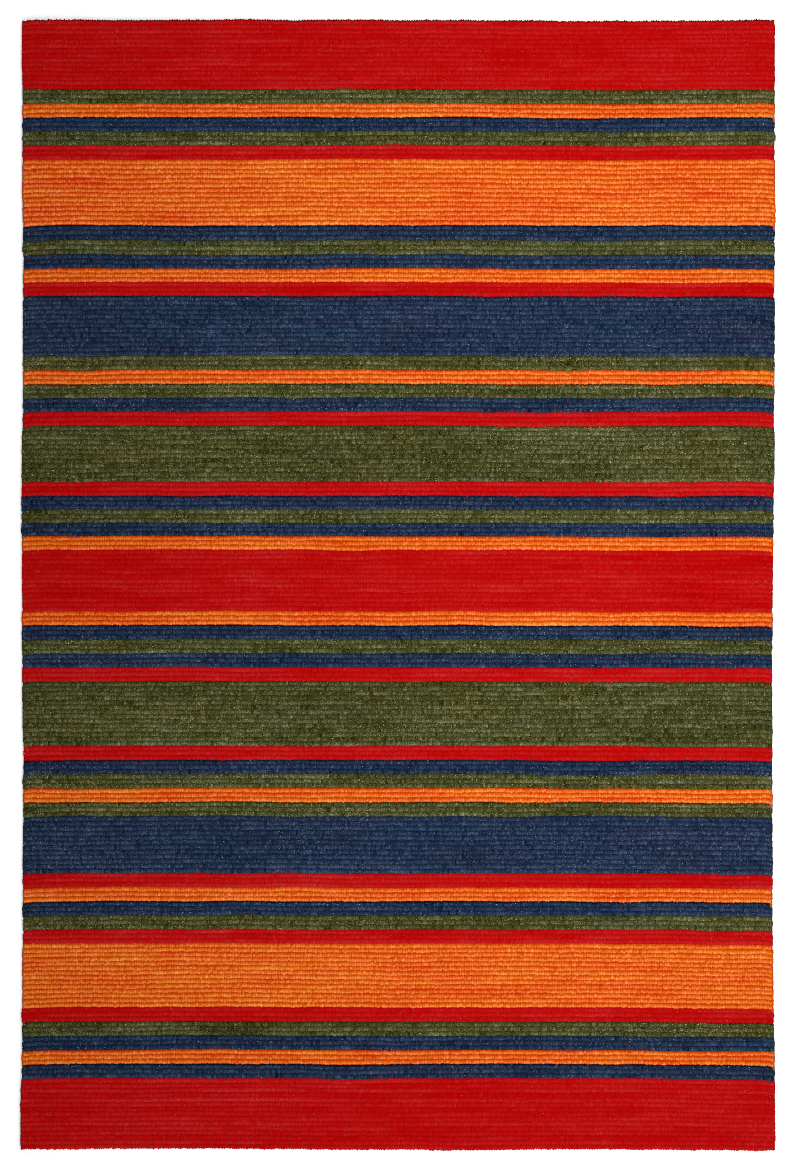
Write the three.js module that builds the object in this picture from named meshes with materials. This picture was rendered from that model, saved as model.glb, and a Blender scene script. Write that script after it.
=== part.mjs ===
// A flat wool rug with a looped pile, tufted in straight rows from side to side.
// It is striped by changing the yarn from row to row.
// Millimetres, +Z up. X runs across the rug and +Y towards its head end.
// The origin is on the floor, under the middle of the rug.
import * as THREE from "three";

// Driving sizes
const WIDTH = 1200;
const LENGTH = 1800;
const THICKNESS = 12; // from the floor to the tops of the loops
const GROOVE_DEPTH = 3; // how far the pile dips between two rows of loops
const EDGE_HEIGHT = 7; // where the outermost loops turn down to the floor
const EDGE_ROUND = 4; // how far in from the side the pile reaches its full height
const NARROW_ROWS = 3; // rows of loops in a narrow stripe
const UNDERSIDE_STEPS = 24; // straight runs that follow the side edges along the underside

// The four yarns
const YARNS = { red: "#b8100f", green: "#4d4f2b", orange: "#dd6220", blue: "#24324a" };

// The tufting chart, from the head to the foot.
// Each band is a broad stripe with its rows of loops, and the narrow stripes after it.
const BANDS = [
  { broad: "red", rows: 15, narrow: ["green", "orange", "blue", "green", "red"] },
  { broad: "orange", rows: 14, narrow: ["blue", "green", "blue", "orange", "red"] },
  { broad: "blue", rows: 13, narrow: ["green", "orange", "green", "blue", "red"] },
  { broad: "green", rows: 12, narrow: ["red", "blue", "green", "blue", "orange"] },
  { broad: "red", rows: 13, narrow: ["orange", "blue", "green", "blue", "red"] },
  { broad: "green", rows: 14, narrow: ["red", "blue", "green", "orange", "green"] },
  { broad: "blue", rows: 12, narrow: ["red", "orange", "blue", "green", "red"] },
  { broad: "orange", rows: 14, narrow: ["red", "green", "blue", "orange", "blue"] },
  { broad: "red", rows: 15, narrow: [] },
];

// How far each hand-worked edge lies inside the rug's rectangle, at shares of its run from 0 to 1.
// The side edges run from the head to the foot, and the two end edges from left to right.
const LEFT_EDGE = [
  { along: 0, inset: 1.9 },
  { along: 0.27, inset: 3.6 },
  { along: 0.46, inset: 0.8 },
  { along: 0.67, inset: 3.7 },
  { along: 0.85, inset: 2.4 },
  { along: 1, inset: 0 },
];
const RIGHT_EDGE = [
  { along: 0, inset: 0 },
  { along: 0.33, inset: 1.2 },
  { along: 0.58, inset: 4.2 },
  { along: 0.76, inset: 4.0 },
  { along: 1, inset: 0 },
];
const HEAD_EDGE = [
  { along: 0, inset: 0.6 },
  { along: 0.5, inset: 0 },
  { along: 0.75, inset: 1.8 },
  { along: 1, inset: 0 },
];
const FOOT_EDGE = [
  { along: 0, inset: 2.4 },
  { along: 0.25, inset: 3.4 },
  { along: 0.5, inset: 2.0 },
  { along: 0.75, inset: 2.5 },
  { along: 1, inset: 0 },
];

// The sections that the rug is lofted through, from the left side to the right.
// Each has its share of the width, a shift along X, and its share of the full height.
// The first and last two make the rounded side edges.
const SECTIONS = [
  { across: 0, shift: 0, height: EDGE_HEIGHT / THICKNESS },
  { across: 0, shift: EDGE_ROUND, height: 1 },
  { across: 0.25, shift: 0, height: 1 },
  { across: 0.5, shift: 0, height: 1 },
  { across: 0.75, shift: 0, height: 1 },
  { across: 1, shift: -EDGE_ROUND, height: 1 },
  { across: 1, shift: 0, height: EDGE_HEIGHT / THICKNESS },
];

const yarnRows = BANDS.flatMap(chartedRows);
const rowPitch = LENGTH / yarnRows.length;

// The yarn of each row of loops in one band, from its head to its foot.
function chartedRows({ broad, rows, narrow }) {
  const broadRows = Array(rows).fill(broad);
  const narrowRows = narrow.flatMap((yarn) => Array(NARROW_ROWS).fill(yarn));
  return [...broadRows, ...narrowRows];
}

// An edge's inset at a share of its run, eased from one charted point to the next.
function insetAt(edge, share) {
  const next = Math.max(1, edge.findIndex((point) => point.along >= share));
  const from = edge[next - 1];
  const to = edge[next];
  const eased = THREE.MathUtils.smoothstep(share, from.along, to.along);
  return THREE.MathUtils.lerp(from.inset, to.inset, eased);
}

// The rug cut from its foot, at 0, to its head: a flat underside, and one rib for each row of loops.
function ribbedSection() {
  const section = new THREE.Shape();
  section.moveTo(0, 0);
  for (let step = 1; step <= UNDERSIDE_STEPS; step++) {
    section.lineTo((LENGTH * step) / UNDERSIDE_STEPS, 0);
  }
  section.lineTo(LENGTH, EDGE_HEIGHT);
  for (let row = yarnRows.length - 1; row >= 0; row--) {
    section.lineTo((row + 0.5) * rowPitch, THICKNESS);
    if (row > 0) {
      section.lineTo(row * rowPitch, THICKNESS - GROOVE_DEPTH);
    }
  }
  section.lineTo(0, EDGE_HEIGHT);
  return section;
}

// Colours each facet of the straight, unlofted rug with the yarn of its row.
function dyeRows(geometry) {
  const places = geometry.getAttribute("position");
  const colours = new Float32Array(places.count * 3);
  for (let corner = 0; corner < places.count; corner += 3) {
    const fromFoot = (places.getX(corner) + places.getX(corner + 1) + places.getX(corner + 2)) / 3;
    const row = Math.floor((LENGTH - fromFoot) / rowPitch);
    const yarn = yarnRows[THREE.MathUtils.clamp(row, 0, yarnRows.length - 1)];
    const dye = new THREE.Color(YARNS[yarn]);
    for (let i = 0; i < 3; i++) {
      dye.toArray(colours, (corner + i) * 3);
    }
  }
  geometry.setAttribute("color", new THREE.BufferAttribute(colours, 3));
}

// Lofts the ribbed section through SECTIONS: each step of the extrusion becomes one of them.
function rugGeometry() {
  const steps = SECTIONS.length - 1;
  const geometry = new THREE.ExtrudeGeometry(ribbedSection(), { depth: steps, steps, bevelEnabled: false });
  dyeRows(geometry);
  const places = geometry.getAttribute("position");
  for (let i = 0; i < places.count; i++) {
    const fromFoot = places.getX(i) / LENGTH;
    const { across, shift, height } = SECTIONS[Math.round(places.getZ(i))];
    const left = -WIDTH / 2 + insetAt(LEFT_EDGE, 1 - fromFoot);
    const right = WIDTH / 2 - insetAt(RIGHT_EDGE, 1 - fromFoot);
    const foot = -LENGTH / 2 + insetAt(FOOT_EDGE, across);
    const head = LENGTH / 2 - insetAt(HEAD_EDGE, across);
    const x = THREE.MathUtils.lerp(left, right, across) + shift;
    const y = THREE.MathUtils.lerp(foot, head, fromFoot);
    places.setXYZ(i, x, y, places.getY(i) * height);
  }
  geometry.computeVertexNormals();
  return geometry;
}

const wool = new THREE.MeshStandardMaterial({ vertexColors: true, roughness: 0.95, metalness: 0 });
const rug = new THREE.Mesh(rugGeometry(), wool);
rug.name = "rug";

const group = new THREE.Group();
group.add(rug);

export default group;
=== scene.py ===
import math

import bpy
import numpy as np
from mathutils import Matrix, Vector


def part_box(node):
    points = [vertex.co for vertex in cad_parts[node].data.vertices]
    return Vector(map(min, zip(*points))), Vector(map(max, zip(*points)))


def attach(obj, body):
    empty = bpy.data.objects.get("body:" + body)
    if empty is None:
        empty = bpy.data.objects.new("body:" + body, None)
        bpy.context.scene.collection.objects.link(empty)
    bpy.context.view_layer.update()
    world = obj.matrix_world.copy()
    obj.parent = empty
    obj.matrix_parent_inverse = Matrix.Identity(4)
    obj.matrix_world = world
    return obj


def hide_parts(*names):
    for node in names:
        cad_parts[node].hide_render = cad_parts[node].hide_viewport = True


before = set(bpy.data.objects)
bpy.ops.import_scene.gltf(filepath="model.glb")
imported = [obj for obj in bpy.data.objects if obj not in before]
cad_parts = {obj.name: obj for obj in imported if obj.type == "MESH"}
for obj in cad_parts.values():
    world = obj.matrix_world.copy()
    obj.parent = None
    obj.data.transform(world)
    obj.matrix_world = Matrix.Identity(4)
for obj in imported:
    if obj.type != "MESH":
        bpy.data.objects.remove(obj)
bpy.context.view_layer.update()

# A flat wool rug with a looped pile, striped by changing the yarn from row to row.
# Metres, +Z up. X runs across the rug along the rows of loops, and +Y towards its head end.
# Each loop is a small shape of its own. They are joined into two pieces for each yarn,
# above a foundation cloth that lies flat on the floor.

RUG_LOW, RUG_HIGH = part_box("rug")
WIDTH = RUG_HIGH.x - RUG_LOW.x
LENGTH = RUG_HIGH.y - RUG_LOW.y
MM = 0.001

# The tufting chart, from the head to the foot.
# Each band is a broad stripe with its rows of loops, and the narrow stripes after it.
NARROW_ROWS = 3
BANDS = [
    {"broad": "red", "rows": 15, "narrow": ["green", "orange", "blue", "green", "red"]},
    {"broad": "orange", "rows": 14, "narrow": ["blue", "green", "blue", "orange", "red"]},
    {"broad": "blue", "rows": 13, "narrow": ["green", "orange", "green", "blue", "red"]},
    {"broad": "green", "rows": 12, "narrow": ["red", "blue", "green", "blue", "orange"]},
    {"broad": "red", "rows": 13, "narrow": ["orange", "blue", "green", "blue", "red"]},
    {"broad": "green", "rows": 14, "narrow": ["red", "blue", "green", "orange", "green"]},
    {"broad": "blue", "rows": 12, "narrow": ["red", "orange", "blue", "green", "red"]},
    {"broad": "orange", "rows": 14, "narrow": ["red", "green", "blue", "orange", "blue"]},
    {"broad": "red", "rows": 15, "narrow": []},
]
LOOPS = 306  # in a row

# How far each hand-worked edge lies inside the rug's rectangle, in mm, at shares of its run from 0 to 1.
# The side edges run from the head to the foot, and the two end edges from left to right.
LEFT_EDGE = [
    {"along": 0, "mm": 1.9},
    {"along": 0.27, "mm": 3.6},
    {"along": 0.46, "mm": 0.8},
    {"along": 0.67, "mm": 3.7},
    {"along": 0.85, "mm": 2.4},
    {"along": 1, "mm": 0},
]
RIGHT_EDGE = [
    {"along": 0, "mm": 0},
    {"along": 0.33, "mm": 1.2},
    {"along": 0.58, "mm": 4.2},
    {"along": 0.76, "mm": 4.0},
    {"along": 1, "mm": 0},
]
HEAD_EDGE = [
    {"along": 0, "mm": 0.6},
    {"along": 0.5, "mm": 0},
    {"along": 0.75, "mm": 1.8},
    {"along": 1, "mm": 0},
]
FOOT_EDGE = [
    {"along": 0, "mm": 2.4},
    {"along": 0.25, "mm": 3.4},
    {"along": 0.5, "mm": 2.0},
    {"along": 0.75, "mm": 2.5},
    {"along": 1, "mm": 0},
]
# How much nearer to the foot the rows lie than evenly spaced ones, from the head to the foot
ROW_DRIFT = [
    {"along": 0, "mm": 0},
    {"along": 0.1, "mm": -1.4},
    {"along": 0.18, "mm": 0},
    {"along": 0.2, "mm": 2.0},
    {"along": 0.25, "mm": 1.0},
    {"along": 0.3, "mm": -0.4},
    {"along": 0.42, "mm": -0.5},
    {"along": 0.47, "mm": -3.8},
    {"along": 0.53, "mm": -2.3},
    {"along": 0.59, "mm": -2.0},
    {"along": 0.65, "mm": -3.4},
    {"along": 0.71, "mm": -3.1},
    {"along": 0.76, "mm": -1.3},
    {"along": 0.81, "mm": -1.2},
    {"along": 0.87, "mm": -3.6},
    {"along": 0.9, "mm": -2.7},
    {"along": 1, "mm": -0.2},
]

# A loop of the pile in mm, from the side that faces the foot end to the side that faces the head end.
# It starts and ends at a point, and between them has two sections with a flat top and sloping sides.
# Its depth in the pile sets a painted highlight and shade in its colour: about 0 at the crest,
# which is painted palest, 1 between the rows, which is painted deep, and darker still above 1.
PILE_LOOP = {
    "front": {"along": -4.5, "height": 9.8, "depth": 1.0},
    "sections": [
        {"along": -2.2, "half_width": 2.5, "side": 11.2, "half_top": 1.4, "top": 12.0, "depth": -0.2},
        {"along": 1.8, "half_width": 2.5, "side": 10.9, "half_top": 1.4, "top": 11.5, "depth": 0.5},
    ],
    "back": {"along": 4.5, "height": 9.8, "depth": 1.0},
}
# A loop on the rug's edge, which turns down to the floor. Its front faces out of the rug.
# Its depths paint it darker where it turns down to the floor: painted shade.
EDGE_LOOP = {
    "front": {"along": 0.5, "height": 0.1, "depth": 1.6},
    "sections": [
        {"along": 0.2, "half_width": 2.0, "side": 0.2, "half_top": 1.3, "top": 6.5, "depth": 1.6},
        {"along": 2.4, "half_width": 2.0, "side": 10.4, "half_top": 1.3, "top": 11.4, "depth": 0.4},
    ],
    "back": {"along": 6.4, "height": 9.0, "depth": 1.0},
}
# The corners of a section: the half width and the height that each takes from it,
# how much deeper in the pile it lies, which paints its sides darker as painted shade,
# and its place across the loop's texture cell
SECTION_CORNERS = [
    {"out": -1, "half": "half_width", "height": "side", "deeper_shade": 0.55, "cell": 0.0},
    {"out": -1, "half": "half_top", "height": "top", "deeper_shade": 0.0, "cell": 0.25},
    {"out": 1, "half": "half_top", "height": "top", "deeper_shade": 0.0, "cell": 0.75},
    {"out": 1, "half": "half_width", "height": "side", "deeper_shade": 0.55, "cell": 1.0},
]
SECTION_CELLS = (0.3, 0.7)  # the places of the two sections along the texture cell
FRONT_CELL = (0.5, 0.0)
BACK_CELL = (0.5, 1.0)
CELL_MARGIN = 0.08  # kept free around a shape in its texture cell

# The yarn closes up under the loops: along the middle of a row, between two rows, and at the rug's edge
# Their depths paint the floor deep between the rows and darker at the rug's edge: painted shade.
PILE_FLOOR = {
    "middle": {"height": 11.1, "depth": 0.25},
    "between": {"height": 9.9, "depth": 1.0},
    "edge": {"height": 0.3, "depth": 1.6},
}
PILE_FLOOR_STEPS = 34  # straight runs along a row of it
PILE_FLOOR_LINES = ("between", "middle", "between")  # across a row, from the foot to the head
FOOT_LINE = 0
HEAD_LINE = 2
SIDE_ALLOWANCE = 3.2 * MM  # what the edge loops take up at each side
EDGE_REACH = 0.8 * MM  # how far their tips reach over the charted edge
EDGE_OVERLAP = 1.45  # how much wider they are than the room between them
EDGE_WIDTHS = 0.06  # how unevenly wide they are, as a share
EDGE_RISE = 0.3  # how unevenly high, in mm
CORNER_CUT = 1.6 * MM  # how far inside the corner its loop stands

# How unevenly the loops are worked by hand, as spreads in mm
LOOP_STRAY = 0.35  # each loop for itself, along and across its row
HELD_LOOP = 0.3  # what is left of that at the ends of a row, where the loops are held
FREE_LOOP = 6  # how many loops from the end it is back in full
LOOP_LEAN = 0.4  # how far a loop's crown leans over
LOOP_RISE = 0.3  # loops higher or lower than their neighbours
LOOP_TURN = 7.0  # degrees that a loop twists out of line
LOOP_WIDTHS = 0.1  # wider or narrower loops, as a share
LOOP_LENGTHS = 0.06  # longer or shorter loops, as a share
STRIPE_END = 0.35  # stripes longer or shorter than their neighbours
ROW_END = 0.25  # rows longer or shorter than their neighbours
STRIPE_CORNER = 0.7  # how much shorter the first and last rows of a stripe are
SEED = 20  # of everything random

# Slow changes over the rug: how many rows and loops lie from one value to the next, and their spread
ROW_BEND = [  # in mm along the rug, for rows together and for each row
    {"rows": 5, "loops": 22, "spread": 0.6},
    {"rows": 1, "loops": 10, "spread": 0.35},
]
LOOP_PUSH = [  # in mm along the row
    {"rows": 7, "loops": 9, "spread": 1.0},
]
LOOP_LIFT = [  # as parts of a loop's rise
    {"rows": 1, "loops": 5, "spread": 0.6},
]
STREAKS = [  # as parts of a yarn's streak
    {"rows": 1, "loops": 13, "spread": 1.0},
    {"rows": 8, "loops": 45, "spread": 0.5},
]
HUES = [  # as parts of a yarn's drift
    {"rows": 1, "loops": 20, "spread": 0.7},
    {"rows": 6, "loops": 30, "spread": 0.4},
]
SPECKS = [  # towards more or fewer specks
    {"rows": 1, "loops": 14, "spread": 0.7},
    {"rows": 9, "loops": 40, "spread": 0.5},
]

# How far the ends of the rows sag towards the foot, in mm, and over how many loops
END_SAG = {"left": 1.2, "right": 1.6, "loops": 4}
TURNED_YARN = "orange"  # at the right side this yarn turns down over the next stripe

# The edge loops at the sides of every row, or of the last row of stripes in the turned yarn:
# the end of the row that they hang from, the way out of the rug, which way they face in degrees,
# how far towards the head from the row's middle as a part of the distance between rows,
# how much higher they are in mm, and how much deeper in shade
SIDE_LOOPS = [
    {"column": 0, "out": -1, "angle": -90, "part": -0.25, "rise": 0, "shade": 0.1, "turned": False},
    {"column": 0, "out": -1, "angle": -90, "part": 0.25, "rise": 0, "shade": 0.1, "turned": False},
    {"column": -1, "out": 1, "angle": 90, "part": -0.25, "rise": 0, "shade": 0, "turned": False},
    {"column": -1, "out": 1, "angle": 90, "part": 0.25, "rise": 0, "shade": 0, "turned": False},
    {"column": -1, "out": 1, "angle": 90, "part": -0.7, "rise": 0.9, "shade": 0, "turned": True},
    {"column": -1, "out": 1, "angle": 90, "part": -1.05, "rise": 0.6, "shade": 0, "turned": True},
]
# The edge loops along the first and the last row, and on the four corners
END_LOOPS = [
    {"row": 0, "out": 1, "angle": 180, "rise": 0, "shade": 0.2},
    {"row": -1, "out": -1, "angle": 0, "rise": 0, "shade": 0},
]
CORNER_LOOPS = [
    {"row": 0, "column": 0, "right": -1, "up": 1, "angle": -135, "rise": 0, "shade": 0},
    {"row": 0, "column": -1, "right": 1, "up": 1, "angle": 135, "rise": 0, "shade": 0},
    {"row": -1, "column": 0, "right": -1, "up": -1, "angle": -45, "rise": 0, "shade": 0},
    {"row": -1, "column": -1, "right": 1, "up": -1, "angle": 45, "rise": 0, "shade": 0},
]

# How strongly the last row of one stripe shades the first row of the next
STRIPE_SHADES = [
    {"above": "orange", "below": "blue", "shade": 1.0},
    {"above": "orange", "below": "green", "shade": 0.7},
    {"above": "red", "below": "blue", "shade": 0.6},
    {"above": "red", "below": "green", "shade": 0.4},
    {"above": "blue", "below": "orange", "shade": 0.3},
    {"above": "green", "below": "orange", "shade": 0.2},
]
HEAD_SHADE = 1.35  # and how dark the rug's first row is where it turns down
FOOT_SHADE = 0.8  # and its last row
# The front of a stripe's last row is painted paler: a painted highlight.
LAST_ROW_HIGHLIGHT = 0.1  # how much paler the front of a stripe's last row is

FOUNDATION_HEIGHT = 4.5 * MM
FOUNDATION_INSET = 3.0 * MM  # from the charted edges
FOUNDATION_COLUMNS = 25
FOUNDATION_ROWS = 37

# The four yarns, in display colours from 0 to 255: the deep tone between the fibres, the pale tone
# of those that stand out, how far the dyeing drifts, and specks of undyed wool, with the level of noise
# that shows them. Deep and pale also carry the painted shade between the rows and the painted highlight
# on the crests. The rest are shares of the way from deep to pale: the spreads of fibres, of loops,
# of streaks along a row and of rows, how much paler the narrow stripes are, and the painted step
# from shade between the rows to highlight on a loop's crest.
YARNS = {
    "red": {
        "deep": (177, 0, 0),
        "pale": (195, 42, 43),
        "drift": (1, 3, 2),
        "speck": (222, 82, 82),
        "speck_level": 0.80,
        "fibre": 0.15,
        "loop": 0.06,
        "streak": 0.08,
        "row": 0.06,
        "narrow": 0.04,
        "painted_crest": 0.22,
    },
    "orange": {
        "deep": (206, 72, 0),
        "pale": (239, 121, 57),
        "drift": (2, 9, 2),
        "speck": (255, 190, 110),
        "speck_level": 0.80,
        "fibre": 0.25,
        "loop": 0.12,
        "streak": 0.03,
        "row": 0.03,
        "narrow": -0.05,
        "painted_crest": 1.15,
    },
    "green": {
        "deep": (46, 47, 12),
        "pale": (99, 100, 66),
        "drift": (2, 0, -2),
        "speck": (172, 175, 128),
        "speck_level": 0.74,
        "fibre": 0.44,
        "loop": 0.15,
        "streak": 0.10,
        "row": 0.02,
        "narrow": 0.0,
        "painted_crest": 0.36,
    },
    "blue": {
        "deep": (19, 32, 54),
        "pale": (59, 73, 97),
        "drift": (-1.5, 1.2, 1.5),
        "speck": (146, 158, 176),
        "speck_level": 0.78,
        "fibre": 0.37,
        "loop": 0.14,
        "streak": 0.06,
        "row": 0.02,
        "narrow": -0.06,
        "painted_crest": 0.45,
    },
}
MIDDLE_TONE = 0.5  # half way from deep to pale
# The step paints a highlight on the crest above the middle tone, and shade between the rows below it.
PAINTED_CREST_SHARES = (0.4, 0.6)  # how much of the step to the crest lies above and below the middle tone
TONE_SHOWN = (1.4, 0.4)  # how strongly a loop's own tone shows at its crest and between the rows
BETWEEN_ROWS = 1.0  # depth in the pile
FULL_SHADE = 2.0  # depth from which it gets no darker
DARKEST_SHADE = 0.35  # what is left of the colour there
LOWEST_COLOUR = (0.01, 0.01, 0.01)  # keeps every channel above 0
DISPLAY_GAMMA = 2.2

# The wool's fibres, plies and specks. Scales are to a metre.
FIBRE_SCALE = 850.0
FIBRE_DETAIL = 1.0
FIBRE_STRETCH = (1.4, 0.8, 1.0)  # finer along the rows than across them
NOISE_SPREAD = 0.125  # about how far noise spreads to each side of its middle
PLY_ANGLE = math.radians(35)  # between the yarn's plies and the rows
PLY_WAVES = {"Scale": 240.0, "Distortion": 3.0, "Detail Scale": 0.6}
WOOL_BUMP = {"Strength": 0.45, "Distance": 0.5 * MM}
WOOL_NOISE = (0.2, 0.8)  # the range of the fibres' noise that changes the roughness
WOOL_ROUGHNESS = (0.86, 1.0)
WOOL_SPECULAR = 0.03
SPECK_SCALE = 560.0
SPECK_DETAIL = 0.0
SPECK_FADE = 0.06  # how far above its level in the noise a speck shows in full
SPECK_LIMITS = (-2, 2)  # from the loops with the fewest specks to those with the most
SPECK_SHIFTS = (-0.06, 0.06)  # and how far they move the noise

# The plain cloth of the foundation, in linear colours
CLOTH_WAVES = {"Scale": 95.0, "Distortion": 1.2, "Detail": 2.0, "Detail Scale": 2.0}
CLOTH_GAPS = (0.40, 0.34, 0.25, 1)
CLOTH_THREADS = (0.58, 0.51, 0.39, 1)
CLOTH_BUMP = {"Strength": 0.4, "Distance": 0.6 * MM}
CLOTH_SPECULAR = 0.2
SLUB_SCALE = 60.0
SLUB_DETAIL = 4.0
SLUB_NOISE = (0.3, 0.7)  # the range of the slubs' noise that changes the next two
SLUB_SHADES = (0.9, 1.08)
SLUB_ROUGHNESS = (0.88, 0.98)

# The floor, which glows a little so that it shows white
FLOOR_SHADER = {
    "Base Color": (0.96, 0.96, 0.96, 1),
    "Roughness": 0.9,
    "Specular IOR Level": 0.1,
    "Emission Color": (1, 1, 1, 1),
    "Emission Strength": 0.31,
}
FLOOR_REACH = 60.0
FLOOR_GAP = 0.4 * MM  # below the rug

# An even white surrounding, a little soft light from the foot end, and a long lamp over the right half
WORLD_STRENGTH = 0.455
KEY_LIGHT = {"energy": 0.75, "angle": math.radians(30)}
KEY_FROM = (0.2, -0.6, 0.77)
STRIP_LIGHT = {"shape": "RECTANGLE", "size": 0.6, "size_y": 3.0, "spread": math.radians(66), "energy": 8.7}
STRIP_AT = (0.35, 0.2, 2.4)

# The photograph's frame and the rug's middle in it, in pixels
PHOTO_WIDTH = 794
PHOTO_HEIGHT = 1171
RUG_MIDDLE_X = 397.95
RUG_MIDDLE_Y = 585.35
PHOTO_SCALE = 1.5905 * MM  # metres to a pixel
CAMERA_DISTANCE = 6.0
CAMERA_REACH = 100
SENSOR = 36.0  # mm, along the frame's long side
PIXEL_FILTER = 1.0  # pixels wide, for a crisp picture

# Where the sockets of a mix node lie when it mixes colours
MIX_SHARE = 0
MIX_LOW = 6
MIX_HIGH = 7
MIX_RESULT = 2

UNIT = (0.0, 1.0)  # the whole range of a share


def charted_stripes():
    """Each stripe from the head to the foot, as its yarn and its rows of loops."""
    for band in BANDS:
        yield band["broad"], band["rows"]
        for yarn in band["narrow"]:
            yield yarn, NARROW_ROWS


STRIPES = list(charted_stripes())
STRIPE_OF_ROW = np.repeat(np.arange(len(STRIPES)), [rows for _, rows in STRIPES])
YARN_OF_ROW = np.array([STRIPES[stripe][0] for stripe in STRIPE_OF_ROW])
NARROW_STRIPE = np.array([STRIPES[stripe][1] for stripe in STRIPE_OF_ROW]) == NARROW_ROWS
ROWS = len(STRIPE_OF_ROW)
STRIPE_STARTS = np.diff(STRIPE_OF_ROW, prepend=-1) > 0
STRIPE_ENDS = np.append(STRIPE_STARTS[1:], True)
ROW_PITCH = LENGTH / ROWS
LOOP_PITCH = (WIDTH - 2 * SIDE_ALLOWANCE) / LOOPS


def mix(low, high, share):
    return low + (high - low) * share


def eased(share):
    return share * share * (3 - 2 * share)


def charted(points, share):
    """What a chart gives at shares of its run, in metres, eased from one of its points to the next."""
    along = np.array([point["along"] for point in points])
    value = np.array([point["mm"] for point in points]) * MM
    upper = np.clip(np.searchsorted(along, share), 1, len(along) - 1)
    step = (share - along[upper - 1]) / (along[upper] - along[upper - 1])
    return mix(value[upper - 1], value[upper], eased(step))


def place(across, from_head, left_end=0, right_end=0):
    """Where a point lies, by its shares of the rug's width and length, and what its row's ends lack."""
    left = RUG_LOW.x + charted(LEFT_EDGE, from_head) + left_end
    right = RUG_HIGH.x - charted(RIGHT_EDGE, from_head) - right_end
    head = RUG_HIGH.y - charted(HEAD_EDGE, across)
    foot = RUG_LOW.y + charted(FOOT_EDGE, across)
    return mix(left, right, across), mix(head, foot, from_head)


def drift(random, row_run, loop_run):
    """Smooth noise over all the loops, between random values so many rows and loops apart."""
    knots = random.normal(size=(math.ceil(ROWS / row_run) + 2, math.ceil(LOOPS / loop_run) + 2))
    row_at = np.arange(ROWS) / row_run
    column_at = np.arange(LOOPS) / loop_run
    row = row_at.astype(int)
    column = column_at.astype(int)
    down = eased(row_at - row)[:, None]
    along = eased(column_at - column)
    upper = mix(knots[row][:, column], knots[row][:, column + 1], along)
    lower = mix(knots[row + 1][:, column], knots[row + 1][:, column + 1], along)
    return mix(upper, lower, down)


def drifts(random, changes):
    """The sum of some slow changes over the rug."""
    return sum(change["spread"] * drift(random, change["rows"], change["loops"]) for change in changes)


def loop_shape(loop):
    """One loop's corners in metres, their depths in the pile, and their places in its texture cell."""
    front, back = loop["front"], loop["back"]
    corners = [(0, front["along"], front["height"])]
    depths = [front["depth"]]
    cells = [FRONT_CELL]
    for section, cell_along in zip(loop["sections"], SECTION_CELLS):
        for corner in SECTION_CORNERS:
            across = corner["out"] * section[corner["half"]]
            corners.append((across, section["along"], section[corner["height"]]))
            depths.append(section["depth"] + corner["deeper_shade"])
            cells.append((corner["cell"], cell_along))
    corners.append((0, back["along"], back["height"]))
    depths.append(back["depth"])
    cells.append(BACK_CELL)
    return np.array(corners) * MM, np.array(depths), np.array(cells)


def loop_triangles():
    """The triangles between a loop's front point, its two sections and its back point."""
    size = len(SECTION_CORNERS)
    back = 1 + 2 * size
    triangles = []
    for left in range(1, size):
        right = left + 1
        triangles += [
            (0, right, left),
            (left, right, right + size),
            (left, right + size, left + size),
            (back, left + size, right + size),
        ]
    return np.array(triangles)


LOOP_TRIANGLES = loop_triangles()
QUAD_TRIANGLES = np.array([(0, 1, 2), (0, 2, 3)])
QUAD_CELLS = np.array([(0, 0), (1, 0), (1, 1), (0, 1)])


def stand(shape, x, y, rise, turn, stretch, lean):
    """Copies of a loop's corners at x, y: raised, turned about Z in radians, stretched and leaning over."""
    local = shape[None] * stretch[:, None, :]
    cosine, sine = np.cos(turn)[:, None], np.sin(turn)[:, None]
    share = (shape[:, 2] - shape[:, 2].min()) / np.ptp(shape[:, 2])
    corners = np.empty_like(local)
    corners[..., 0] = x[:, None] + local[..., 0] * cosine - local[..., 1] * sine + lean[:, :1] * share
    corners[..., 1] = y[:, None] + local[..., 0] * sine + local[..., 1] * cosine + lean[:, 1:] * share
    corners[..., 2] = local[..., 2] + rise[:, None] * share
    return corners


def row_ends(random):
    """How much shorter each row is at one side: by its stripe, and by itself."""
    stripe = STRIPE_END * random.normal(size=len(STRIPES))
    row = ROW_END * random.normal(size=ROWS)
    corner = STRIPE_CORNER * (STRIPE_STARTS | STRIPE_ENDS)
    return (stripe[STRIPE_OF_ROW] + row + corner)[:, None] * MM


def end_sag():
    """How far each loop sags with the end of its row: least in the last rows, which lie along the foot."""
    column = np.arange(LOOPS)
    left = END_SAG["left"] * np.clip(1 - column / END_SAG["loops"], 0, 1) ** 2
    right = END_SAG["right"] * np.clip(1 - column[::-1] / END_SAG["loops"], 0, 1) ** 2
    free = np.clip((ROWS - 1 - np.arange(ROWS)) / END_SAG["loops"], 0, 1)
    return free[:, None] * (left + right) * MM


def loop_layout(random):
    """The x and y of every loop and how much higher it stands, as arrays of rows and columns."""
    row, column = np.meshgrid(np.arange(ROWS), np.arange(LOOPS), indexing="ij")
    from_head = (row + 0.5) / ROWS
    x, y = place((column + 0.5) / LOOPS, from_head, row_ends(random), row_ends(random))
    x *= 1 - 2 * (SIDE_ALLOWANCE - EDGE_REACH) / WIDTH
    bend = drifts(random, ROW_BEND) + LOOP_STRAY * random.normal(size=x.shape)
    push = drifts(random, LOOP_PUSH) + LOOP_STRAY * random.normal(size=x.shape)
    push *= np.clip(np.minimum(column, LOOPS - 1 - column) / FREE_LOOP, HELD_LOOP, 1)
    rise = LOOP_RISE * MM * (drifts(random, LOOP_LIFT) + random.normal(size=x.shape))
    return x + push * MM, y + bend * MM - end_sag() - charted(ROW_DRIFT, from_head), rise


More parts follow.
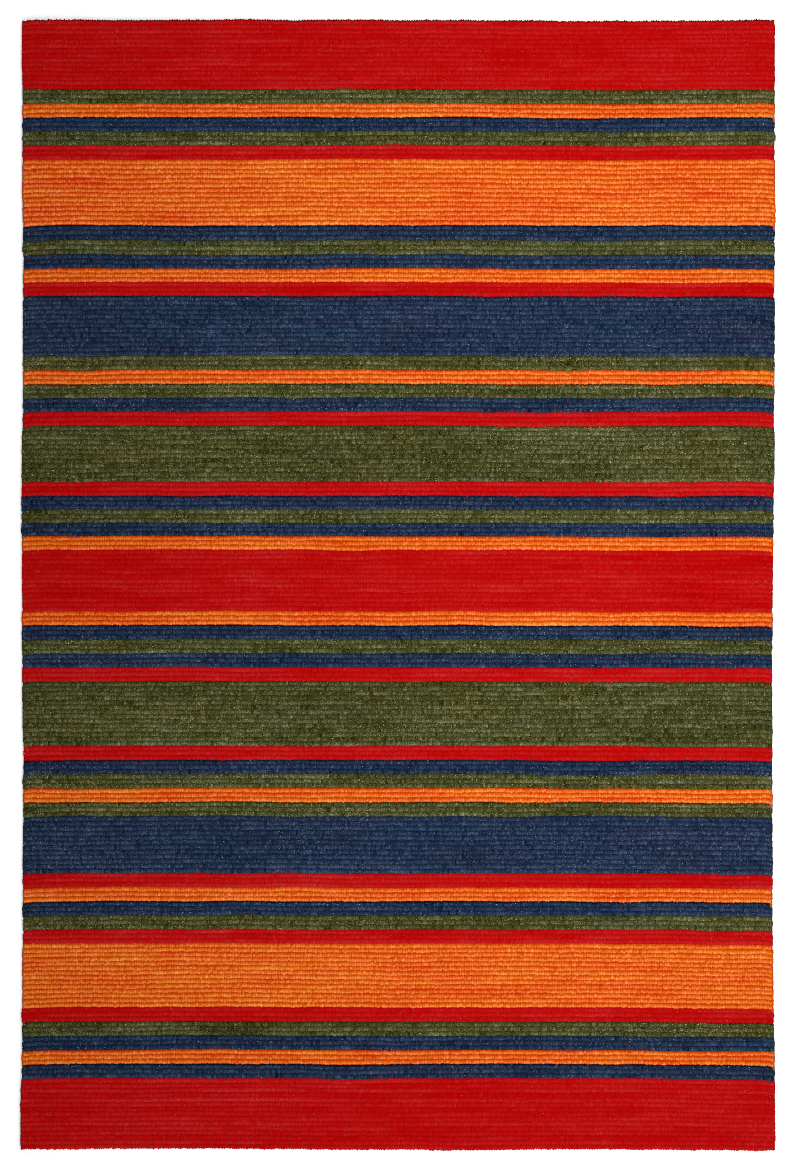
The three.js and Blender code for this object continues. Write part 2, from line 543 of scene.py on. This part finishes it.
def loop_tones(random):
    """How much paler each loop is, its drift in hue and how many specks it has, by rows and columns."""
    tone = np.zeros((ROWS, LOOPS))
    streak = drifts(random, STREAKS)
    row = random.normal(size=(ROWS, 1))
    single = random.normal(size=(ROWS, LOOPS))
    for yarn, look in YARNS.items():
        own = YARN_OF_ROW == yarn
        spread = look["loop"] * single + look["streak"] * streak + look["row"] * row
        tone[own] = (spread + look["narrow"] * NARROW_STRIPE[:, None])[own]
    hue = drifts(random, HUES)
    specks = drifts(random, SPECKS)
    return tone, hue, specks


def marks(tones, depth):
    """The colour attribute of corners: tone, hue and specks of each loop, and each corner's depth in the
    pile, which sets painted shade and highlight.
    """
    values = np.empty((len(tones[0]), depth.shape[-1], 4))
    for channel, loops in enumerate(tones):
        values[..., channel] = loops[:, None]
    values[..., 3] = depth
    return values


def cast_shade():
    """How deep each row lies in the shade of the stripe before it, or of the rug's own head edge."""
    shade = np.zeros(ROWS)
    shade[0] = HEAD_SHADE
    for change in STRIPE_SHADES:
        meets = (YARN_OF_ROW[:-1] == change["above"]) & (YARN_OF_ROW[1:] == change["below"])
        shade[1:][meets] = change["shade"]
    return shade


def pile_floor_levels(rows, size):
    """Heights of the pile's floor, and depths that set its painted shade, along the foot side, the middle
    and the head side of rows.
    """
    heights = np.empty((len(PILE_FLOOR_LINES), len(rows), size))
    depths = np.empty_like(heights)
    for line, name in enumerate(PILE_FLOOR_LINES):
        heights[line] = PILE_FLOOR[name]["height"] * MM
        depths[line] = PILE_FLOOR[name]["depth"]
    depths[HEAD_LINE] += cast_shade()[rows][:, None]
    edge = np.zeros(heights.shape, bool)
    edge[:, :, [0, -1]] = True
    edge[HEAD_LINE, rows == 0] = True
    edge[FOOT_LINE, rows == ROWS - 1] = True
    heights[edge] = PILE_FLOOR["edge"]["height"] * MM
    depths[edge] = PILE_FLOOR["edge"]["depth"]
    return heights, depths


def pile_floor(rows, layout, tones):
    """Quads that close the pile under the loops of some rows, sloping down between rows and at the edge."""
    columns = np.linspace(0, LOOPS - 1, PILE_FLOOR_STEPS + 1).round().astype(int)
    columns = np.array([0, *columns, LOOPS - 1])
    x, y, _ = layout
    between = (y[1:] + y[:-1]) / 2
    head = np.vstack([y[:1] + ROW_PITCH / 2, between])
    foot = np.vstack([between, y[-1:] - ROW_PITCH / 2])
    lines = np.stack([values[rows][:, columns] for values in (foot, y, head)])
    across = x[rows][:, columns]
    across[:, 0] -= SIDE_ALLOWANCE
    across[:, -1] += SIDE_ALLOWANCE
    heights, depths = pile_floor_levels(rows, len(columns))
    steps = len(columns) - 1
    corners = np.empty((2, len(rows), steps, 4, 3))
    depth = np.empty((2, len(rows), steps, 4))
    for corner, (step, upper) in enumerate(QUAD_CELLS):
        line = slice(upper, upper + 2)
        run = slice(step, steps + step)
        corners[..., corner, 0] = across[:, run]
        corners[..., corner, 1] = lines[line, :, run]
        corners[..., corner, 2] = heights[line, :, run]
        depth[..., corner] = depths[line, :, run]
    toned = [np.tile(values[rows][:, columns[:-1]].ravel(), 2) for values in tones]
    return {
        "corners": corners.reshape(-1, 4, 3),
        "triangles": QUAD_TRIANGLES,
        "cells": QUAD_CELLS,
        "marks": marks(toned, depth.reshape(-1, 4)),
    }


def per_loop(values):
    """Values of rows, repeated for each of their loops, to meet the corners of a loop."""
    return np.repeat(values, LOOPS)[:, None]


def pile_loops(random, rows, layout, tones):
    """The loops of some rows."""
    shape, depth, cells = loop_shape(PILE_LOOP)
    x, y, rise = (values[rows].ravel() for values in layout)
    count = len(x)
    turn = np.radians(LOOP_TURN) * random.normal(size=count)
    stretch = np.ones((count, 3))
    stretch[:, 0] = 1 + LOOP_WIDTHS * random.normal(size=count)
    stretch[:, 1] = 1 + LOOP_LENGTHS * random.normal(size=count)
    lean = LOOP_LEAN * MM * random.normal(size=(count, 2))
    towards_head = np.clip(shape[:, 1] / shape[:, 1].max(), 0, 1)
    towards_foot = np.clip(shape[:, 1] / shape[:, 1].min(), 0, 1)
    shade = per_loop(cast_shade()[rows]) * towards_head * (1 + towards_head)
    shade -= per_loop(LAST_ROW_HIGHLIGHT * STRIPE_ENDS[rows]) * (towards_foot > 0)
    shade += per_loop(FOOT_SHADE * (rows == ROWS - 1)) * towards_foot
    return {
        "corners": stand(shape, x, y, rise, turn, stretch, lean),
        "triangles": LOOP_TRIANGLES,
        "cells": cells,
        "marks": marks([values[rows].ravel() for values in tones], depth + shade),
    }


def side_runs(rows, x, y):
    """The edge loops at the two sides of some rows."""
    for side in SIDE_LOOPS:
        row = rows
        if side["turned"]:
            row = rows[STRIPE_ENDS[rows] & (YARN_OF_ROW[rows] == TURNED_YARN) & (rows < ROWS - 1)]
        column = np.full(len(row), side["column"])
        yield {
            **side,
            "x": x[row, column] + side["out"] * (LOOP_PITCH / 2 + SIDE_ALLOWANCE),
            "y": y[row, column] + side["part"] * ROW_PITCH,
            "row": row,
            "column": column,
            "width": ROW_PITCH / 2,
        }


def end_runs(rows, x, y):
    """The edge loops along the head and the foot, if their row is among some rows."""
    for end in END_LOOPS:
        row = end["row"] % ROWS
        if row in rows:
            yield {
                **end,
                "x": np.linspace(x[row, 0], x[row, -1], LOOPS),
                "y": y[row] + end["out"] * ROW_PITCH / 2,
                "row": np.full(LOOPS, row),
                "column": np.arange(LOOPS),
                "width": LOOP_PITCH,
            }


def corner_runs(rows, x, y):
    """The edge loop on each of the rug's corners, if its row is among some rows."""
    for corner in CORNER_LOOPS:
        row = np.array([corner["row"] % ROWS])
        column = np.array([corner["column"]])
        if row[0] in rows:
            yield {
                **corner,
                "x": x[row, column] + corner["right"] * (LOOP_PITCH / 2 + SIDE_ALLOWANCE - CORNER_CUT),
                "y": y[row, column] + corner["up"] * (ROW_PITCH / 2 - CORNER_CUT),
                "row": row,
                "column": column,
                "width": LOOP_PITCH,
            }


def edge_loops(random, rows, layout, tones):
    """The loops that turn down to the floor at the edges of some rows."""
    shape, depth, cells = loop_shape(EDGE_LOOP)
    x, y, _ = layout
    runs = [*side_runs(rows, x, y), *end_runs(rows, x, y), *corner_runs(rows, x, y)]
    sizes = [len(run["row"]) for run in runs]
    single = {name: np.concatenate([run[name] for run in runs]) for name in ("x", "y", "row", "column")}
    shared = {
        name: np.repeat([run[name] for run in runs], sizes) for name in ("angle", "width", "rise", "shade")
    }
    count = sum(sizes)
    widths = 1 + EDGE_WIDTHS * random.normal(size=count)
    stretch = np.ones((count, 3))
    stretch[:, 0] = EDGE_OVERLAP * shared["width"] / LOOP_PITCH * widths
    rise = (shared["rise"] + EDGE_RISE * random.normal(size=count)) * MM
    turn = np.radians(shared["angle"] + LOOP_TURN * random.normal(size=count))
    upright = np.zeros((count, 2))
    toned = [values[single["row"], single["column"]] for values in tones]
    return {
        "corners": stand(shape, single["x"], single["y"], rise, turn, stretch, upright),
        "triangles": LOOP_TRIANGLES,
        "cells": cells,
        "marks": marks(toned, depth + shared["shade"][:, None]),
    }


def joined(groups):
    """The corners, triangles, texture places and marks of all the shapes in some groups.

    A group holds the corners and marks of its shapes, and the triangles and texture cell of one of them.
    Each shape gets its own cell of the texture.
    """
    side = math.ceil(math.sqrt(sum(len(group["corners"]) for group in groups)))
    corners, triangles, places, colours = [], [], [], []
    first_corner = 0
    first_cell = 0
    for group in groups:
        count, size = group["corners"].shape[:2]
        number = np.arange(count)
        index = first_corner + number[:, None, None] * size + group["triangles"]
        cell = first_cell + number
        origin = np.stack([cell % side, cell // side], axis=1)
        inside = mix(CELL_MARGIN, 1 - CELL_MARGIN, group["cells"])
        corners.append(group["corners"].reshape(-1, 3))
        triangles.append(index.reshape(-1, 3))
        places.append(((origin[:, None] + inside) / side).reshape(-1, 2))
        colours.append(group["marks"].reshape(-1, 4))
        first_corner += count * size
        first_cell += count
    return [np.concatenate(parts) for parts in (corners, triangles, places, colours)]


def add_object(name, data):
    thing = bpy.data.objects.new(name, data)
    bpy.context.collection.objects.link(thing)
    return thing


def add_piece(name, groups, material):
    """One mesh of many small shapes."""
    corners, triangles, places, colours = joined(groups)
    index = triangles.ravel()
    mesh = bpy.data.meshes.new(name)
    mesh.vertices.add(len(corners))
    mesh.vertices.foreach_set("co", corners.ravel())
    mesh.loops.add(len(index))
    mesh.loops.foreach_set("vertex_index", index)
    mesh.polygons.add(len(triangles))
    mesh.polygons.foreach_set("loop_start", np.arange(0, len(index), 3))
    mesh.update(calc_edges=True)
    mesh.shade_smooth()
    mesh.attributes.new("yarn", "FLOAT_COLOR", "POINT").data.foreach_set("color", colours.ravel())
    mesh.uv_layers.new(name="OFBake").data.foreach_set("uv", places[index].ravel())
    mesh.materials.append(material)
    return add_object(name, mesh)


def set_inputs(tree, node, inputs):
    """Links or sets the inputs of a shader node."""
    for name, value in inputs.items():
        if isinstance(value, bpy.types.NodeSocket):
            tree.links.new(value, node.inputs[name])
        else:
            node.inputs[name].default_value = value


def add_node(tree, kind, inputs, **settings):
    """A shader node with its settings and its inputs."""
    node = tree.nodes.new(kind)
    for name, value in settings.items():
        setattr(node, name, value)
    set_inputs(tree, node, inputs)
    return node


def new_material(name):
    """A material with its node tree and its shader, which is linked to the output."""
    material = bpy.data.materials.new(name)
    material.use_nodes = True
    tree = material.node_tree
    tree.nodes.clear()
    shader = tree.nodes.new("ShaderNodeBsdfPrincipled")
    add_node(tree, "ShaderNodeOutputMaterial", {"Surface": shader.outputs["BSDF"]})
    return material, tree, shader


def maths(tree, operation, *values):
    inputs = dict(enumerate(values))
    return add_node(tree, "ShaderNodeMath", inputs, operation=operation).outputs["Value"]


def vector_maths(tree, operation, *values):
    inputs = dict(enumerate(values))
    return add_node(tree, "ShaderNodeVectorMath", inputs, operation=operation).outputs["Vector"]


def mixed_colour(tree, share, low, high):
    inputs = {MIX_SHARE: share, MIX_LOW: low, MIX_HIGH: high}
    node = add_node(tree, "ShaderNodeMix", inputs, data_type="RGBA", clamp_factor=False)
    return node.outputs[MIX_RESULT]


def scaled_colour(tree, colour, scale):
    inputs = {"Vector": colour, "Scale": scale}
    return add_node(tree, "ShaderNodeVectorMath", inputs, operation="SCALE").outputs["Vector"]


def mapped(tree, value, span, to_span, clamp=True):
    """A value moved from one range to another."""
    inputs = {
        "Value": value,
        "From Min": span[0],
        "From Max": span[1],
        "To Min": to_span[0],
        "To Max": to_span[1],
    }
    return add_node(tree, "ShaderNodeMapRange", inputs, clamp=clamp).outputs["Result"]


def noise(tree, position, scale, detail):
    inputs = {"Vector": position, "Scale": scale, "Detail": detail}
    return add_node(tree, "ShaderNodeTexNoise", inputs).outputs["Fac"]


def waves(tree, position, direction, settings):
    inputs = {"Vector": position, **settings}
    return add_node(tree, "ShaderNodeTexWave", inputs, bands_direction=direction).outputs["Fac"]


def bump(tree, height, settings):
    return add_node(tree, "ShaderNodeBump", {"Height": height, **settings}).outputs["Normal"]


def display(colour):
    """A display colour as shares from 0 to 1."""
    return tuple(part / 255 for part in colour)


def opaque(colour):
    return (*display(colour), 1)


def wool_tone(tree, look, own_tone, depth, fibres):
    """The place from deep to pale, by the depth in the pile, which paints shade between the rows and a
    highlight on the crest, by the loop's own tone and by the fibres.
    """
    in_pile = maths(tree, "MINIMUM", depth, BETWEEN_ROWS)
    above, below = (share * look["painted_crest"] for share in PAINTED_CREST_SHARES)
    painted_crest = mapped(tree, in_pile, UNIT, (MIDDLE_TONE + above, MIDDLE_TONE - below), clamp=False)
    shown = mapped(tree, in_pile, UNIT, TONE_SHOWN, clamp=False)
    tone = maths(tree, "MULTIPLY_ADD", own_tone, shown, painted_crest)
    spread = look["fibre"] / (2 * NOISE_SPREAD)
    return maths(tree, "ADD", tone, mapped(tree, fibres, UNIT, (-spread, spread)))


def wool_colour(tree, look, tone, hue, specks, depth, position):
    """The colour from deep to pale, with drifts in the dyeing, specks of undyed wool, and shade."""
    colour = mixed_colour(tree, tone, opaque(look["deep"]), opaque(look["pale"]))
    colour = vector_maths(tree, "MULTIPLY_ADD", hue, display(look["drift"]), colour)
    shift = mapped(tree, specks, SPECK_LIMITS, SPECK_SHIFTS)
    bare = maths(tree, "ADD", noise(tree, position, SPECK_SCALE, SPECK_DETAIL), shift)
    level = look["speck_level"]
    speck = mapped(tree, bare, (level, level + SPECK_FADE), UNIT)
    colour = mixed_colour(tree, speck, colour, opaque(look["speck"]))
    shade = mapped(tree, depth, (BETWEEN_ROWS, FULL_SHADE), (1.0, DARKEST_SHADE))
    colour = vector_maths(tree, "MAXIMUM", scaled_colour(tree, colour, shade), LOWEST_COLOUR)
    linear = add_node(tree, "ShaderNodeGamma", {"Color": colour, "Gamma": DISPLAY_GAMMA})
    return linear.outputs["Color"]


def wool_material(name, look):
    """Looped wool yarn, toned and given painted shade and highlight by the attribute that holds each loop's
    marks.
    """
    material, tree, shader = new_material(name)
    yarn = add_node(tree, "ShaderNodeAttribute", {}, attribute_name="yarn").outputs
    parts = add_node(tree, "ShaderNodeSeparateColor", {"Color": yarn["Color"]}).outputs
    depth = yarn["Alpha"]
    position = add_node(tree, "ShaderNodeTexCoord", {}).outputs["Object"]
    stretched = add_node(tree, "ShaderNodeMapping", {"Vector": position, "Scale": FIBRE_STRETCH})
    turned = add_node(tree, "ShaderNodeMapping", {"Vector": position, "Rotation": (0, 0, PLY_ANGLE)})
    fibres = noise(tree, stretched.outputs["Vector"], FIBRE_SCALE, FIBRE_DETAIL)
    plies = waves(tree, turned.outputs["Vector"], "Y", PLY_WAVES)
    tone = wool_tone(tree, look, parts["Red"], depth, fibres)
    surface = {
        "Base Color": wool_colour(tree, look, tone, parts["Green"], parts["Blue"], depth, position),
        "Normal": bump(tree, maths(tree, "ADD", fibres, plies), WOOL_BUMP),
        "Roughness": mapped(tree, fibres, WOOL_NOISE, WOOL_ROUGHNESS),
        "Specular IOR Level": WOOL_SPECULAR,
    }
    set_inputs(tree, shader, surface)
    return material


def backing_material():
    """Plain undyed cotton cloth."""
    material, tree, shader = new_material("backing")
    position = add_node(tree, "ShaderNodeTexCoord", {}).outputs["Object"]
    threads = [waves(tree, position, direction, CLOTH_WAVES) for direction in ("X", "Y")]
    weave = maths(tree, "MULTIPLY", *threads)
    slubs = noise(tree, position, SLUB_SCALE, SLUB_DETAIL)
    colour = mixed_colour(tree, weave, CLOTH_GAPS, CLOTH_THREADS)
    surface = {
        "Base Color": scaled_colour(tree, colour, mapped(tree, slubs, SLUB_NOISE, SLUB_SHADES)),
        "Normal": bump(tree, weave, CLOTH_BUMP),
        "Roughness": mapped(tree, slubs, SLUB_NOISE, SLUB_ROUGHNESS),
        "Specular IOR Level": CLOTH_SPECULAR,
    }
    set_inputs(tree, shader, surface)
    return material


def add_foundation(material):
    """The closed sheet of cloth that carries the pile, flat on the floor."""
    shares = np.linspace(0, 1, FOUNDATION_ROWS), np.linspace(0, 1, FOUNDATION_COLUMNS)
    from_head, across = np.meshgrid(*shares, indexing="ij")
    x, y = place(across, from_head)
    x *= 1 - 2 * FOUNDATION_INSET / WIDTH
    y *= 1 - 2 * FOUNDATION_INSET / LENGTH
    sides = [np.stack([x, y, np.full_like(x, level)], axis=-1) for level in (0, FOUNDATION_HEIGHT)]
    number = np.arange(x.size).reshape(x.shape)
    up = x.size
    faces = []
    for row in range(FOUNDATION_ROWS - 1):
        for column in range(FOUNDATION_COLUMNS - 1):
            first, second = number[row, column : column + 2]
            fourth, third = number[row + 1, column : column + 2]
            faces.append((first, second, third, fourth))
            faces.append((fourth + up, third + up, second + up, first + up))
    rim = [*number[0], *number[1:, -1], *number[-1, -2::-1], *number[-2:0:-1, 0]]
    for first, second in zip(rim, rim[1:] + rim[:1]):
        faces.append((second, first, first + up, second + up))
    mesh = bpy.data.meshes.new("foundation")
    mesh.from_pydata(np.reshape(sides, (-1, 3)).tolist(), [], [tuple(map(int, face)) for face in faces])
    mesh.validate()
    mesh.materials.append(material)
    return add_object("foundation", mesh)


def add_floor():
    """A plain pale floor, which isn't part of the rug."""
    material, tree, shader = new_material("floor")
    set_inputs(tree, shader, FLOOR_SHADER)
    level = RUG_LOW.z - FLOOR_GAP
    ways = ((-1, -1), (1, -1), (1, 1), (-1, 1))
    mesh = bpy.data.meshes.new("floor")
    mesh.from_pydata([(x * FLOOR_REACH, y * FLOOR_REACH, level) for x, y in ways], [], [(0, 1, 2, 3)])
    mesh.materials.append(material)
    floor = add_object("floor", mesh)
    return floor


def add_lamp(name, kind, settings):
    light = bpy.data.lights.new(name, kind)
    for setting, value in settings.items():
        setattr(light, setting, value)
    return add_object(name, light)


def add_light():
    """The two lights and the white surrounding."""
    key = add_lamp("key", "SUN", KEY_LIGHT)
    key.rotation_mode = "QUATERNION"
    key.rotation_quaternion = Vector(KEY_FROM).to_track_quat("Z", "Y")
    strip = add_lamp("strip", "AREA", STRIP_LIGHT)
    strip.location = STRIP_AT
    world = bpy.data.worlds.new("studio")
    world.use_nodes = True
    background = world.node_tree.nodes["Background"]
    background.inputs["Color"].default_value = (1, 1, 1, 1)
    background.inputs["Strength"].default_value = WORLD_STRENGTH
    bpy.context.scene.world = world


def add_camera():
    """The photograph's view, from straight above."""
    data = bpy.data.cameras.new("camera")
    data.sensor_width = SENSOR
    data.lens = SENSOR * CAMERA_DISTANCE / (PHOTO_HEIGHT * PHOTO_SCALE)
    data.clip_end = CAMERA_REACH
    camera = add_object("camera", data)
    middle = (RUG_LOW + RUG_HIGH) / 2
    camera.location = (
        middle.x - (RUG_MIDDLE_X - PHOTO_WIDTH / 2) * PHOTO_SCALE,
        middle.y + (RUG_MIDDLE_Y - PHOTO_HEIGHT / 2) * PHOTO_SCALE,
        RUG_HIGH.z + CAMERA_DISTANCE,
    )
    bpy.context.scene.camera = camera


def add_pile():
    """Two pieces for each yarn, with every other one of its stripes in each."""
    random = np.random.default_rng(SEED)
    layout = loop_layout(random)
    tones = loop_tones(random)
    pieces = []
    for yarn, look in YARNS.items():
        material = wool_material("wool_" + yarn, look)
        stripes = [number for number, stripe in enumerate(STRIPES) if stripe[0] == yarn]
        for half in range(2):
            rows = np.flatnonzero(np.isin(STRIPE_OF_ROW, stripes[half::2]))
            groups = [
                pile_loops(random, rows, layout, tones),
                edge_loops(random, rows, layout, tones),
                pile_floor(rows, layout, tones),
            ]
            piece = add_piece(f"pile_{yarn}_{half + 1}", groups, material)
            pieces.append(piece)
    return pieces


def main():
    """Builds the scene, attaches each piece of the rug to the root body and hides the charted rug."""
    bpy.context.scene.view_settings.view_transform = "Standard"
    bpy.context.scene.cycles.use_denoising = False
    bpy.context.scene.cycles.filter_width = PIXEL_FILTER
    add_camera()
    add_light()
    floor = add_floor()
    foundation = add_foundation(backing_material())
    pile = add_pile()
    for piece in [foundation, *pile]:
        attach(piece, "root")
        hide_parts("rug")


main()
